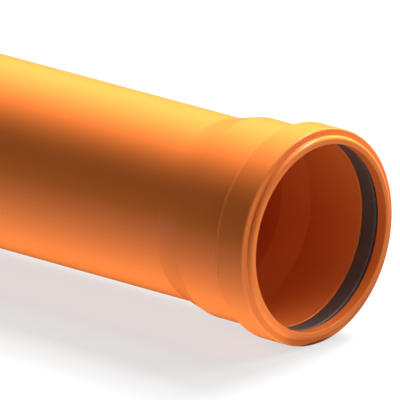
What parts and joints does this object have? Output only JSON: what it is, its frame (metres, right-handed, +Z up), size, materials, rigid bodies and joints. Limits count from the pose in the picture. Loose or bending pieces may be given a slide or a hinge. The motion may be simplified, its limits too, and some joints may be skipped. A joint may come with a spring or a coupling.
{
  "type": "socketed sewer pipe",
  "caption": "Orange polypropylene drain pipe lying on its side: a plain chamfered spigot at one end, a belled push-fit socket with a rubber sealing ring at the other.",
  "frame": {"origin": "on the pipe's axis at the front of the socket's mouth", "axes": "+X along the axis and out of the socket's mouth, +Z up as the pipe lies; the spigot's end is at -X"},
  "size_m": [0.5592, 0.1284, 0.1284],
  "materials": {
    "pipe_plastic": "smooth semi-gloss extruded polypropylene, orange",
    "seal_rubber": "satin black moulded rubber"
  },
  "bodies": {
    "root": {"pipe": "pipe_plastic", "sealing_ring": "seal_rubber"}
  },
  "joints": []
}
